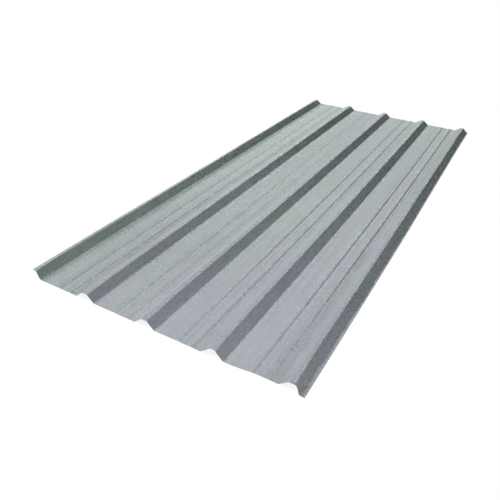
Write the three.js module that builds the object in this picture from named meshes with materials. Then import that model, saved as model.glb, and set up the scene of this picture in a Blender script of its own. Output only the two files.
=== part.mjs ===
// Trapezoidal ("box profile") roofing and cladding sheet, roll formed in one piece from galvanised coil.
//
// Millimetres. X runs across the sheet, Y along its length and +Z up, out of the weather side.
// The sheet lies on its pans, the flat troughs between the ribs. The origin is in the middle of its plan,
// at the level of the pans' underside.
//
// The steel is one constant thickness. Its middle line is drawn as sharp corners, every corner is rounded by
// a bend, and the two faces of the steel follow that line at half a thickness on either side.

import * as THREE from 'three';

// Steel strip
const SHEET_LENGTH = 2500;
const STEEL_THICKNESS = 0.5;

// Main ribs. Widths, runs and heights are taken to the sharp corners of the middle line, and the radii of the
// bends to the inside of the steel, here as below.
const RIB_COUNT = 5; // the first one is the half rib of the side lap
const RIB_PITCH = 250;
const RIB_HEIGHT = 25;
const RIB_CROWN_WIDTH = 18;
const RIB_WEB_RUN = 30;
const RIB_CROWN_BEND_RADIUS = 10;
const RIB_FOOT_BEND_RADIUS = 5;

// Swages, the shallow stiffening beads rolled into every pan
const SWAGES_PER_PAN = 2;
const SWAGE_SPACING = 50;
const SWAGE_TO_NEXT_RIB = 33; // from the last swage's centre to the foot of the rib that follows
const SWAGE_HEIGHT = 2.2;
const SWAGE_TOP_WIDTH = 8;
const SWAGE_FLANK_RUN = 4;
const SWAGE_BEND_RADIUS = 5;

// Side edges
const LAP_CROWN_WIDTH = 7; // strip of crown left on the half rib, which laps over the neighbouring sheet
const FOOT_FLANGE_WIDTH = 8; // strip beyond the last rib, which the neighbouring sheet covers
const FOOT_FLANGE_DROP = 1; // how far the flange slopes down to its free edge, which is level with the pans
const FOOT_FLANGE_BEND_RADIUS = 10;

// Facets
const MAX_CHORD_ANGLE = THREE.MathUtils.degToRad(6);

// Worked out from the sizes above
const RIB_BASE_WIDTH = RIB_CROWN_WIDTH + 2 * RIB_WEB_RUN;
const PAN_LEVEL = STEEL_THICKNESS / 2; // middle line of the pans, with their underside at zero
const SHEET_WIDTH = LAP_CROWN_WIDTH + RIB_WEB_RUN + (RIB_COUNT - 1) * RIB_PITCH + FOOT_FLANGE_WIDTH;
const LEFT_EDGE_X = -SHEET_WIDTH / 2;
const FIRST_RIB_X = LEFT_EDGE_X + LAP_CROWN_WIDTH - RIB_CROWN_WIDTH / 2;

const GALVANISED_STEEL = new THREE.MeshStandardMaterial({ color: '#abb3b2', roughness: 0.45, metalness: 0.9 });

/** A sharp corner of the middle line, at a height above the pans, with the middle radius of its bend. */
function cornerAt(x, height, insideRadius) {
  return { point: new THREE.Vector2(x, PAN_LEVEL + height), radius: insideRadius + STEEL_THICKNESS / 2 };
}

/** The four corners of a bead that stands on the pan: foot, crown, crown, foot. */
function beadCorners({ centreX, topWidth, flankRun, height, topRadius, footRadius }) {
  const halfTop = topWidth / 2;
  const halfBase = halfTop + flankRun;
  return [
    cornerAt(centreX - halfBase, 0, footRadius),
    cornerAt(centreX - halfTop, height, topRadius),
    cornerAt(centreX + halfTop, height, topRadius),
    cornerAt(centreX + halfBase, 0, footRadius),
  ];
}

/** Main rib number index, counted from zero at the left edge. */
function ribCorners(index) {
  return beadCorners({
    centreX: FIRST_RIB_X + index * RIB_PITCH,
    topWidth: RIB_CROWN_WIDTH,
    flankRun: RIB_WEB_RUN,
    height: RIB_HEIGHT,
    topRadius: RIB_CROWN_BEND_RADIUS,
    footRadius: RIB_FOOT_BEND_RADIUS,
  });
}

/** The swages of the pan on the left of main rib number index, from left to right. */
function swageCorners(index) {
  const nextFootX = FIRST_RIB_X + index * RIB_PITCH - RIB_BASE_WIDTH / 2;
  const corners = [];
  for (let placesFromLast = SWAGES_PER_PAN - 1; placesFromLast >= 0; placesFromLast -= 1) {
    corners.push(...beadCorners({
      centreX: nextFootX - SWAGE_TO_NEXT_RIB - placesFromLast * SWAGE_SPACING,
      topWidth: SWAGE_TOP_WIDTH,
      flankRun: SWAGE_FLANK_RUN,
      height: SWAGE_HEIGHT,
      topRadius: SWAGE_BEND_RADIUS,
      footRadius: SWAGE_BEND_RADIUS,
    }));
  }
  return corners;
}

/** Middle line of the steel from the lap edge to the foot flange: two free ends, with the corners between. */
function middleLine() {
  const halfRib = ribCorners(0).slice(2); // its crown is cut short, and only its right web is there
  const lapEdge = halfRib[0].point.clone().setX(LEFT_EDGE_X);
  const corners = [...halfRib];
  for (let index = 1; index < RIB_COUNT; index += 1) {
    corners.push(...swageCorners(index), ...ribCorners(index));
  }
  const flangeFootX = corners.pop().point.x; // the last foot stands a little higher, and the flange droops from it
  corners.push(cornerAt(flangeFootX, FOOT_FLANGE_DROP, FOOT_FLANGE_BEND_RADIUS));
  const flangeEdge = new THREE.Vector2(flangeFootX + FOOT_FLANGE_WIDTH, PAN_LEVEL);
  return { lapEdge, corners, flangeEdge };
}

/** The unit vector square to a heading, on its left. On the middle line it points out of the upper face. */
function leftOf(heading) {
  return new THREE.Vector2(-heading.y, heading.x).normalize();
}

/** The circular bend that rounds one corner between the points before and after it. */
function bendAt(corner, before, after) {
  const legIn = corner.point.clone().sub(before);
  const legOut = after.clone().sub(corner.point);
  const turn = Math.atan2(legIn.cross(legOut), legIn.dot(legOut)); // positive where the steel turns upwards
  const side = Math.sign(turn);
  const tangentPerRadius = Math.tan(Math.abs(turn) / 2);
  const legRoom = Math.min(legIn.length(), legOut.length()) / 2;
  const radius = Math.min(corner.radius, legRoom / tangentPerRadius);

  const towardsCentre = leftOf(legIn).multiplyScalar(side);
  const centre = corner.point.clone()
    .addScaledVector(legIn.normalize(), -radius * tangentPerRadius)
    .addScaledVector(towardsCentre, radius);
  const startAngle = towardsCentre.clone().negate().angle();
  return { centre, radius, side, startAngle, turn };
}

/** Points of one face of the steel round a bend. The offset is measured upwards from the middle line. */
function bendPoints({ centre, radius, side, startAngle, turn }, offset) {
  const faceRadius = radius - side * offset;
  const chords = Math.ceil(Math.abs(turn) / MAX_CHORD_ANGLE);
  return Array.from({ length: chords + 1 }, (_, step) => {
    const angle = startAngle + (turn * step) / chords;
    return new THREE.Vector2(Math.cos(angle), Math.sin(angle)).multiplyScalar(faceRadius).add(centre);
  });
}

/** Cross-section of the steel: its upper face from left to right, then its lower face back again. */
function sheetSection() {
  const { lapEdge, corners, flangeEdge } = middleLine();
  const stations = [lapEdge, ...corners.map((corner) => corner.point), flangeEdge];
  const bends = corners.map((corner, index) => bendAt(corner, stations[index], stations[index + 2]));
  const acrossLap = leftOf(stations[1].clone().sub(lapEdge));
  const acrossFlange = leftOf(flangeEdge.clone().sub(stations.at(-2)));
  const facePoints = (offset) => [
    lapEdge.clone().addScaledVector(acrossLap, offset),
    ...bends.flatMap((bend) => bendPoints(bend, offset)),
    flangeEdge.clone().addScaledVector(acrossFlange, offset),
  ];
  const upperFace = facePoints(STEEL_THICKNESS / 2);
  const lowerFace = facePoints(-STEEL_THICKNESS / 2);
  return new THREE.Shape([...upperFace, ...lowerFace.reverse()]);
}

/** The whole sheet, rolled along Y and cut square at both ends. */
function ribbedSheet() {
  const geometry = new THREE.ExtrudeGeometry(sheetSection(), { depth: SHEET_LENGTH, bevelEnabled: false });
  geometry.rotateX(Math.PI / 2); // the section stands upright, and its length runs towards -Y
  geometry.translate(0, SHEET_LENGTH / 2, 0);
  const sheet = new THREE.Mesh(geometry, GALVANISED_STEEL);
  sheet.name = 'ribbed_sheet';
  return sheet;
}

const roofingSheet = new THREE.Group();
roofingSheet.add(ribbedSheet());

export default roofingSheet;
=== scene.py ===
"""Trapezoidal galvanised steel sheet, lying on its pans in a small white studio.

All sizes are in metres. X runs across the sheet from the lap edge to the foot flange, Y runs along its
length and +Z is up, out of the weather side. The origin is in the middle of the plan, under the pans.

One Geometry Nodes tree rolls the sheet: corners of ribs and swages, bends, sweep along the length, and the
steel's thickness. The finishes are procedural and read Object coordinates or the attributes that it stores.
"""

import logging
import math
from dataclasses import dataclass, fields
from enum import Enum
from types import SimpleNamespace
from typing import Any, Callable, Mapping, Sequence

import bmesh
import bpy
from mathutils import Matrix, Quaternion, Vector


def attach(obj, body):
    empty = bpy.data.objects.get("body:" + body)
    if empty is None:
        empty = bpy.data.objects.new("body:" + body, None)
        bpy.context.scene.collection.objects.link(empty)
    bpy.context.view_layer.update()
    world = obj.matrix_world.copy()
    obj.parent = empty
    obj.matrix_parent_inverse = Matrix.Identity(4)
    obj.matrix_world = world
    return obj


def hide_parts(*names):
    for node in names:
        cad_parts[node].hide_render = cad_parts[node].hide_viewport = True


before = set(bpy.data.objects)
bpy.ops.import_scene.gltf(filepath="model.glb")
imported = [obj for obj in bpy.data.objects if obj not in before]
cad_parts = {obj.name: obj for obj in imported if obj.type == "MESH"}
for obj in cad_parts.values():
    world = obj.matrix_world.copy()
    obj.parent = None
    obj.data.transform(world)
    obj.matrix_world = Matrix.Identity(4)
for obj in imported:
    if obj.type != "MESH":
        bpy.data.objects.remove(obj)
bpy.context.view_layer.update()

log = logging.getLogger("ribbed_sheet")

Socket = bpy.types.NodeSocket
Pair = tuple[float, float]
Triple = tuple[float, float, float]
Stretch = tuple[float, float]  # where a mask starts and ends to rise or fall
Spot = tuple[float, float, float]  # middle, core and rim of a mask round one place
Ramp = tuple[float, float, float, float]  # start and end, and the values held before and after
Lines = tuple[float, float, float]  # lines per metre across, breaks per metre along, and depth
PerRib = tuple[float, float, float, float, float]
ScreenColour = tuple[int, int, int]

MOST_TRIANGLES = 200_000
WHITE: Triple = (1.0, 1.0, 1.0)

# Places on the sheet: its ends in Y, the stretch beside the near end, the X where the last swages start, and
# how far from a rib's middle its foot is and the dull band beside it ends
NEAR_END = -1.25
FAR_END = 1.25
NEAR_STRETCH: Stretch = (-1.2, -0.7)
LAST_SWAGES: Stretch = (0.37, 0.38)
FOOT = 0.038
BAND_END = 0.062


class Ray(Enum):
    """Kinds of ray that see the plain white background."""

    CAMERA = "Is Camera Ray"
    GLOSSY = "Is Glossy Ray"
    TRANSMISSION = "Is Transmission Ray"


class Mark(Enum):
    """What the rolling tree stores on the steel: first for its own use, then for the finishes."""

    BEND_RADIUS = "bend_radius"
    BEND_STEPS = "bend_steps"
    GIVE = "give"
    OUTWARD = "outward"
    BEND = "bend"
    WEB = "web"
    FROM_RIB = "from_rib"
    FROM_SWAGE = "from_swage"
    RIB_NUMBER = "rib_number"


# --------------------------------------------------------------------------------------------- node graphs


def arithmetic(operation: str, swapped: bool = False) -> Callable[..., "Signal"]:
    """Turns one of Blender's math operations into a method of Signal.

    Args:
        operation: Blender's name for the operation.
        swapped: Whether the signal is the second number instead of the first.

    Returns:
        The method, which adds one node and gives its result.
    """

    def step(signal: "Signal", other: Any = 0.0) -> "Signal":
        """Adds the node."""
        return signal.graph.math(operation, *((other, signal) if swapped else (signal, other)))

    return step


@dataclass(frozen=True, eq=False)
class Signal:
    """An output socket that can be reckoned with. Every step adds a node to its tree."""

    graph: "NodeGraph"
    socket: Socket

    __add__, __radd__ = arithmetic("ADD"), arithmetic("ADD", swapped=True)
    __sub__, __rsub__ = arithmetic("SUBTRACT"), arithmetic("SUBTRACT", swapped=True)
    __mul__, __rmul__ = arithmetic("MULTIPLY"), arithmetic("MULTIPLY", swapped=True)
    __truediv__, __rtruediv__ = arithmetic("DIVIDE"), arithmetic("DIVIDE", swapped=True)
    __abs__, sign, root = arithmetic("ABSOLUTE"), arithmetic("SIGN"), arithmetic("SQRT")
    rounded, floor, ceiling = arithmetic("ROUND"), arithmetic("FLOOR"), arithmetic("CEIL")
    above, below = arithmetic("GREATER_THAN"), arithmetic("LESS_THAN")
    at_least, at_most = arithmetic("MAXIMUM"), arithmetic("MINIMUM")

    def spread(self, low: float, high: float, to_low: float, to_high: float) -> "Signal":
        """Maps low..high onto to_low..to_high and holds the ends."""
        ends = {"From_Min": low, "From_Max": high, "To_Min": to_low, "To_Max": to_high}
        return self.graph.result("ShaderNodeMapRange", {"clamp": True}, Value=self, **ends)

    def rise(self, low: float, high: float) -> "Signal":
        """0 up to low and 1 from high on, with a ramp between."""
        return self.spread(low, high, 0.0, 1.0)

    def fall(self, low: float, high: float) -> "Signal":
        """1 up to low and 0 from high on, with a ramp between."""
        return self.spread(low, high, 1.0, 0.0)

    def near(self, middle: Any, core: float, rim: float) -> "Signal":
        """1 within core of a middle value, and 0 beyond rim."""
        return abs(self - middle).fall(core, rim)


class NodeGraph:
    """Adds nodes to one tree and links them by the names of their sockets."""

    def __init__(self, tree: bpy.types.NodeTree) -> None:
        """Works on a tree and leaves what it already holds."""
        self.tree = tree

    def feed(self, socket: Socket, value: Any) -> None:
        """Links a socket to its source, or sets its value.

        Args:
            socket: The input to feed.
            value: A signal, a list of signals that the input joins, or a plain value.
        """
        sources = value if isinstance(value, list) else [value]
        if not isinstance(sources[0], Signal):
            socket.default_value = value
            return
        for source in sources:
            self.tree.links.new(source.socket, socket)

    def node(self, kind: str, settings: Mapping[str, Any] | None = None, **inputs: Any) -> bpy.types.Node:
        """Adds a node.

        Args:
            kind: Blender's name for the kind of node.
            settings: Properties of the node itself, set before its inputs.
            **inputs: Values or signals by socket name, with underscores for spaces.

        Returns:
            The new node.
        """
        node = self.tree.nodes.new(kind)
        for name, value in (settings or {}).items():
            setattr(node, name, value)
        used = {socket.name: socket for socket in reversed(node.inputs) if socket.enabled}
        for name, value in inputs.items():
            self.feed(used[name.replace("_", " ")], value)
        return node

    def outputs(self, node: bpy.types.Node) -> list[Signal]:
        """All outputs of a node that are in use."""
        return [Signal(self, socket) for socket in node.outputs if socket.enabled]

    def result(self, kind: str, settings: Mapping[str, Any] | None = None, **inputs: Any) -> Signal:
        """Adds a node and gives its first output that is in use."""
        return self.outputs(self.node(kind, settings, **inputs))[0]

    def filled(self, kind: str, settings: Mapping[str, Any], *values: Any) -> list[Signal]:
        """Adds a node and feeds its inputs in their order.

        Args:
            kind: Blender's name for the kind of node.
            settings: Properties of the node itself, set before its inputs.
            *values: Values or signals for its inputs, from the first on.

        Returns:
            All its outputs.
        """
        node = self.node(kind, settings)
        used = [socket for socket in node.inputs if socket.enabled]
        for socket, value in zip(used, values):
            self.feed(socket, value)
        return self.outputs(node)

    def math(self, operation: str, *values: Any) -> Signal:
        """Adds one step of arithmetic, by Blender's name for it."""
        return self.filled("ShaderNodeMath", {"operation": operation}, *values)[0]

    def vector_math(self, operation: str, *values: Any) -> Signal:
        """Adds one step of vector arithmetic, by Blender's name for it."""
        return self.filled("ShaderNodeVectorMath", {"operation": operation}, *values)[0]

    def placed(self, group: "GroupBuilder", *values: Any) -> list[Signal]:
        """Places a shader group, with values for its inputs in their order, and gives its outputs."""
        return self.filled("ShaderNodeGroup", {"node_tree": group.tree}, *values)

    def vector(self, x: Any = 0.0, y: Any = 0.0, z: Any = 0.0) -> Signal:
        """Joins three numbers into a vector."""
        return self.result("ShaderNodeCombineXYZ", X=x, Y=y, Z=z)

    def split(self, vector: Signal) -> list[Signal]:
        """X, Y and Z of a vector."""
        return self.outputs(self.node("ShaderNodeSeparateXYZ", Vector=vector))

    def noise(self, place: Signal, per_metre: Any, detail: float, roughness: float = 0.5) -> Signal:
        """Noise round 0.5, with a number of grains to the metre."""
        looks = {"Scale": per_metre, "Detail": detail, "Roughness": roughness}
        return self.result("ShaderNodeTexNoise", Vector=place, **looks)

    def blend(self, factor: Any, first: Any, second: Any, kind: str = "MIX") -> Signal:
        """Mixes two colours.

        Args:
            factor: How much of the second colour there is.
            first: First colour or signal.
            second: Second colour or signal.
            kind: Blender's name for the blend.

        Returns:
            The mixed colour.
        """
        settings = {"data_type": "RGBA", "blend_type": kind, "clamp_factor": True}
        return self.result("ShaderNodeMix", settings, Factor=factor, A=first, B=second)

    def toned(self, colour: Signal, tone: Signal) -> Signal:
        """A colour times a tone."""
        return self.blend(1.0, colour, self.vector(tone, tone, tone), "MULTIPLY")

    def store(self, geometry: Signal, mark: Mark, value: Signal, kind: str = "FLOAT", **more: Any) -> Signal:
        """Stores a value on the points of a geometry.

        Args:
            geometry: What to store it on.
            mark: Name to store it under.
            value: The value.
            kind: Blender's name for the kind of value.
            **more: Further inputs of the node, such as its Selection.

        Returns:
            The geometry with the value.
        """
        settings = {"data_type": kind, "domain": "POINT"}
        inputs = {"Geometry": geometry, "Name": mark.value, "Value": value, **more}
        return self.result("GeometryNodeStoreNamedAttribute", settings, **inputs)


class GroupBuilder(NodeGraph):
    """A node group with named inputs and outputs."""

    def __init__(self, name: str, kind: str) -> None:
        """Makes an empty group.

        Args:
            name: Name of the group.
            kind: Blender's name for the kind of tree.
        """
        super().__init__(bpy.data.node_groups.new(name, kind))
        self.inlet = self.tree.nodes.new("NodeGroupInput")
        self.outlet = self.tree.nodes.new("NodeGroupOutput")

    def takes(self, name: str, default: Any = None, kind: str = "NodeSocketFloat") -> Signal:
        """Adds a named input.

        Args:
            name: Name of the input.
            default: Value that it starts with.
            kind: Blender's name for the kind of socket.

        Returns:
            The signal inside the group that gives this input.
        """
        item = self.tree.interface.new_socket(name=name, in_out="INPUT", socket_type=kind)
        if default is not None:
            item.default_value = default
        inside = next(socket for socket in self.inlet.outputs if socket.identifier == item.identifier)
        return Signal(self, inside)

    def gives(self, name: str, source: Signal, kind: str = "NodeSocketFloat") -> None:
        """Adds a named output.

        Args:
            name: Name of the output.
            source: The signal inside the group that feeds it.
            kind: Blender's name for the kind of socket.
        """
        item = self.tree.interface.new_socket(name=name, in_out="OUTPUT", socket_type=kind)
        inside = next(socket for socket in self.outlet.inputs if socket.identifier == item.identifier)
        self.feed(inside, source)


def linear(colour: ScreenColour) -> tuple[float, float, float, float]:
    """Turns a colour as a screen shows it, 0 to 255, into the numbers that shaders use.

    Args:
        colour: Red, green and blue on the screen.

    Returns:
        The same colour for a shader's socket, with full alpha.
    """

    def channel(value: int) -> float:
        """One channel, by the screen's own curve."""
        share = value / 255
        return share / 12.92 if share <= 0.04045 else ((share + 0.055) / 1.055) ** 2.4

    return (*(channel(value) for value in colour), 1.0)


# ------------------------------------------------------------------------------------------- rolled sheet


class Bead(Enum):
    """Kinds of bead, each with the names of its sizes in the order of the bead group's inputs."""

    RIB = (
        "rib_crown_width", "rib_web_run", "rib_height",
        "rib_crown_inside_radius", "rib_foot_inside_radius", "rib_bend_steps",
    )
    SWAGE = (
        "swage_top_width", "swage_flank_run", "swage_height",
        "swage_inside_radius", "swage_inside_radius", "swage_bend_steps",
    )


class BeadGroup(GroupBuilder):
    """Geometry Nodes group for one bead: its four corners, as points round X = 0 at the level of the pan."""

    MIDDLE_OF_FOUR = 1.5

    def __init__(self) -> None:
        """Builds the group once; every bead uses it with its own sizes."""
        super().__init__("bead_corners", "GeometryNodeTree")
        top_width, flank_run, height = self.takes("Top Width"), self.takes("Flank Run"), self.takes("Height")
        top_radius, foot_radius = self.takes("Top Radius"), self.takes("Foot Radius")
        steps, give = self.takes("Bend Steps", kind="NodeSocketInt"), self.takes("Give")

        from_middle = self.result("GeometryNodeInputIndex") - self.MIDDLE_OF_FOUR
        is_foot = abs(from_middle).above(1.0)
        reach = top_width * 0.5 + is_foot * flank_run
        place = self.vector(from_middle.sign() * reach, 0.0, (1.0 - is_foot) * height)
        corners = self.result("GeometryNodePoints", Count=4, Position=place)
        corners = self.store(corners, Mark.BEND_RADIUS, top_radius + is_foot * (foot_radius - top_radius))
        corners = self.store(corners, Mark.BEND_STEPS, steps, "INT")
        self.gives("Corners", self.store(corners, Mark.GIVE, give), "NodeSocketGeometry")


@dataclass(frozen=True)
class SheetSizes:
    """Sizes of the rolled section and of the sheet, in metres, as the frame is made from them."""

    length: float = 2.5
    thickness: float = 0.0005
    rib_count: int = 5
    rib_pitch: float = 0.250
    rib_height: float = 0.025
    rib_crown_width: float = 0.018
    rib_web_run: float = 0.030
    rib_crown_inside_radius: float = 0.010
    rib_foot_inside_radius: float = 0.005
    swages_per_pan: int = 2
    swage_spacing: float = 0.050
    swage_to_next_rib: float = 0.033
    swage_height: float = 0.0022
    swage_top_width: float = 0.008
    swage_flank_run: float = 0.004
    swage_inside_radius: float = 0.005
    lap_crown_width: float = 0.007
    foot_flange_width: float = 0.008
    flange_inside_radius: float = 0.010
    flange_drop: float = 0.001


@dataclass(frozen=True)
class SheetFacets:
    """How finely the visible sheet is divided, and how far thin steel wanders from true."""

    rib_bend_steps: int = 7
    swage_bend_steps: int = 4
    flat_step: float = 0.007
    stations: int = 61
    pan_lift: float = 0.0006
    swage_fade: float = 0.15
    near_swage_fade: float = 0.55
    last_swage_fade: float = 0.35
    weak_swage_fade: float = 0.78
    weak_swage_x: float = -0.095
    end_fan: float = 0.0045
    fan_per_square_metre: float = 6.7
    rib_bow: float = 0.0045
    bow_middle_y: float = 0.2
    bow_per_metre: float = 0.77
    far_taper: float = 0.0065
    foot_tuck: float = 0.009
    end_shoulder: float = 0.004
    far_rib_sag: float = 0.12
    short_pan_end: float = 0.0075
    short_lap_end: float = 0.0055
    short_rib_end: float = 0.004
    short_rib_x: float = 0.225
    narrow_near_end: float = 0.0015
    waves_per_metre_across: float = 5.0
    waves_per_metre_along: float = 2.2
    seed: float = 3.7


@dataclass(frozen=True)
class SlackPlaces:
    """Where the sheet wanders from true: the stretches over which each departure grows or fades."""

    lift_shown: Stretch = (0.35, 0.75)
    near_swages_y: Stretch = (NEAR_END, -0.1)
    last_swages_y: Stretch = (NEAR_END, -0.5)
    weak_swage_reach: Pair = (0.015, 0.095)
    above_swages: float = 0.004
    sag_y: Stretch = (1.16, FAR_END)
    bow_x: Stretch = (-0.05, 0.2)
    held_edge: Stretch = (0.0, 0.007)
    sway_x: Stretch = (0.42, 0.515)
    tuck_end: Ramp = (NEAR_END, -1.12, 0.8, 1.0)
    taper_y: Stretch = (-0.2, 0.8)
    taper_x: Stretch = (0.484, 0.512)
    shoulder_start: Stretch = (0.003, 0.009)
    shoulder_end: Stretch = (0.010, 0.034)
    shoulder_y: Stretch = (NEAR_END, -1.12)
    narrow_y: Stretch = (NEAR_END, -0.9)
    narrow_x: Stretch = (0.505, 0.515)
    short_y: Stretch = (NEAR_END, -1.15)
    short_pan_from: Stretch = (0.29, 0.37)
    short_pan_to: Stretch = (0.492, 0.508)
    short_lap: Stretch = (-0.512, -0.488)
    short_rib_reach: Pair = (0.004, 0.016)


class RollingTree(GroupBuilder):
    """Geometry Nodes tree that rolls the sheet from named sizes."""

    FINEST_FLAT = 0.0012
    SHARP_EDGE_DEGREES = 30.0
    WELD_DISTANCE = 0.00002
    WEB_SLOPES: Stretch = (0.8, 0.95)

    def __init__(self, sizes: SheetSizes, facets: SheetFacets) -> None:
        """Builds the tree with one named input for each size.

        Args:
            sizes: Sizes that the inputs start with.
            facets: Divisions and waviness that the inputs start with.
        """
        super().__init__("roll_sheet", "GeometryNodeTree")
        self.tree.is_modifier = True
        self.bead = BeadGroup()
        self.places, self.sizes = SlackPlaces(), SimpleNamespace()
        for owner in (sizes, facets):
            for entry in fields(owner):
                value = getattr(owner, entry.name)
                kind = "NodeSocketInt" if isinstance(value, int) else "NodeSocketFloat"
                title = entry.name.replace("_", " ").title()
                setattr(self.sizes, entry.name, self.takes(title, value, kind))
        self.zinc = self.takes("Zinc Face", kind="NodeSocketMaterial")
        self.cut = self.takes("Sheared Edge", kind="NodeSocketMaterial")
        self.x, self.y, self.z = self.split(self.result("GeometryNodeInputPosition"))
        self.index = self.result("GeometryNodeInputIndex")
        self._measure()
        section = self._divided(self._rounded(self._corner_line()))
        self.gives("Sheet", self._finished(self._thickened(self._swept(section))), "NodeSocketGeometry")

    def _measure(self) -> None:
        """Works out the places that more than one step needs."""
        size = self.sizes
        edge_strips = size.lap_crown_width + size.rib_web_run + size.foot_flange_width
        self.width = edge_strips + (size.rib_count - 1.0) * size.rib_pitch
        self.left_edge, self.right_edge = self.width * -0.5, self.width * 0.5
        self.first_rib = size.lap_crown_width - size.rib_crown_width * 0.5 - self.right_edge
        self.half_base = size.rib_crown_width * 0.5 + size.rib_web_run
        self.pan_level = size.thickness * 0.5

    def _named(self, mark: Mark, kind: str = "FLOAT") -> Signal:
        """Reads what is stored on the point at hand."""
        return self.result("GeometryNodeInputNamedAttribute", {"data_type": kind}, Name=mark.value)

    def _moved(self, geometry: Signal, offset: Signal, **inputs: Any) -> Signal:
        """Moves points of a geometry."""
        return self.result("GeometryNodeSetPosition", Geometry=geometry, Offset=offset, **inputs)

    def _copies(self, piece: Signal, places: Signal) -> Signal:
        """Copies of a piece on every place, as real points."""
        copies = self.result("GeometryNodeInstanceOnPoints", Points=places, Instance=piece)
        return self.result("GeometryNodeRealizeInstances", Geometry=copies)

    def _bead(self, bead: Bead) -> Signal:
        """Makes the corners of one bead.

        Args:
            bead: The kind of bead.

        Returns:
            Its corners, round X = 0.
        """
        top_width, flank_run, height, top, foot, steps = (getattr(self.sizes, name) for name in bead.value)
        values = (top_width, flank_run, height, top + self.pan_level, foot + self.pan_level, steps)
        give = 1.0 if bead is Bead.SWAGE else 0.0
        return self.filled("GeometryNodeGroup", {"node_tree": self.bead.tree}, *values, give)[0]

    def _row(self, count: Signal, first: Any, spacing: Signal, level: Any) -> Signal:
        """Points in a row across the sheet, from the first X on, each a step to the right of the last."""
        place = self.vector(first + self.index * spacing, 0.0, level)
        return self.result("GeometryNodePoints", Count=count, Position=place)

    def _corner_line(self) -> Signal:
        """Joins all corners of the steel's middle line.

        Returns:
            One curve with sharp corners, from the lap edge to the foot flange.
        """
        size, level = self.sizes, self.pan_level
        rib_places = self._row(size.rib_count, self.first_rib, size.rib_pitch, level)
        ribs = self._copies(self._bead(Bead.RIB), rib_places)
        back = size.swage_spacing * -1.0
        swage_pair = self._copies(self._bead(Bead.SWAGE), self._row(size.swages_per_pan, 0.0, back, 0.0))
        last_swage = self.first_rib + size.rib_pitch - self.half_base - size.swage_to_next_rib
        swages = self._copies(swage_pair, self._row(size.rib_count - 1.0, last_swage, size.rib_pitch, level))
        edge_z = level + (1.0 - self.index) * size.rib_height
        edge_places = self.vector(self.left_edge + self.index * self.width, 0.0, edge_z)
        edges = self.result("GeometryNodePoints", Count=2, Position=edge_places)

        corners = self.result("GeometryNodeJoinGeometry", Geometry=[ribs, swages, edges])
        past_lap = self.x.below(self.left_edge - self.WELD_DISTANCE)
        settings = {"domain": "POINT"}
        corners = self.result("GeometryNodeDeleteGeometry", settings, Geometry=corners, Selection=past_lap)
        return self.result("GeometryNodePointsToCurves", Points=self._flange_foot(corners), Weight=self.x)

    def _flange_foot(self, corners: Signal) -> Signal:
        """Lifts the foot beside the flange, so that the flange droops, and gives it a wider bend.

        Args:
            corners: All corners of the section.

        Returns:
            The corners, with that one changed.
        """
        size = self.sizes
        start = self.right_edge - size.foot_flange_width - self.WELD_DISTANCE
        foot = self.x.above(start) * self.x.below(self.right_edge - self.WELD_DISTANCE)
        radius = size.flange_inside_radius + self.pan_level
        corners = self.store(corners, Mark.BEND_RADIUS, radius, Selection=foot)
        return self._moved(corners, self.vector(0.0, 0.0, size.flange_drop), Selection=foot)

    def _rounded(self, line: Signal) -> Signal:
        """Rounds every corner to its own radius, in its own number of steps."""
        radius, steps = self._named(Mark.BEND_RADIUS), self._named(Mark.BEND_STEPS, "INT")
        return self.filled("GeometryNodeFilletCurve", {"mode": "POLY"}, line, steps, radius, True)[0]

    def _length_to(self, offset: int) -> Signal:
        """Measures along the section.

        Args:
            offset: How many points on the other point is.

        Returns:
            Distance from the curve point at hand to that one.
        """
        here = self.result("GeometryNodeInputPosition")
        other = self.node("GeometryNodeOffsetPointInCurve", Point_Index=self.index, Offset=offset)
        there_index = Signal(self, other.outputs["Point Index"])
        settings = {"data_type": "FLOAT_VECTOR", "domain": "POINT"}
        there = self.result("GeometryNodeFieldAtIndex", settings, Value=here, Index=there_index)
        return self.vector_math("DISTANCE", here, there)

    def _divided(self, line: Signal) -> Signal:
        """Divides the flats, and marks the points of the bends.

        Args:
            line: The rounded middle line.

        Returns:
            The line with more points and its marks.
        """
        cuts = (self._length_to(1) / self.sizes.flat_step).floor()
        line = self.result("GeometryNodeSubdivideCurve", Curve=line, Cuts=cuts)
        nearest = self._length_to(1).at_most(self._length_to(-1))
        return self.store(line, Mark.BEND, nearest.below(self.FINEST_FLAT))

    def _swept(self, section: Signal) -> Signal:
        """Carries the section along the sheet and lets it lie as loose thin steel does.

        Args:
            section: The middle line of the steel.

        Returns:
            The middle surface.
        """
        size = self.sizes
        half = size.length * 0.5
        ends = {"Start": self.vector(0.0, half * -1.0, 0.0), "End": self.vector(0.0, half, 0.0)}
        path = self.result("GeometryNodeCurvePrimitiveLine", **ends)
        path = self.result("GeometryNodeResampleCurve", {"mode": "COUNT"}, Curve=path, Count=size.stations)
        upright = self.result("GeometryNodeTransform", Geometry=section, Rotation=(math.pi / 2, 0.0, 0.0))
        surface = self.result("GeometryNodeCurveToMesh", Curve=path, Profile_Curve=upright)
        offset = self.vector(self._run_out(), self._short_end(), self._unevenness())
        return self._moved(self._marked(surface), offset)

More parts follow.
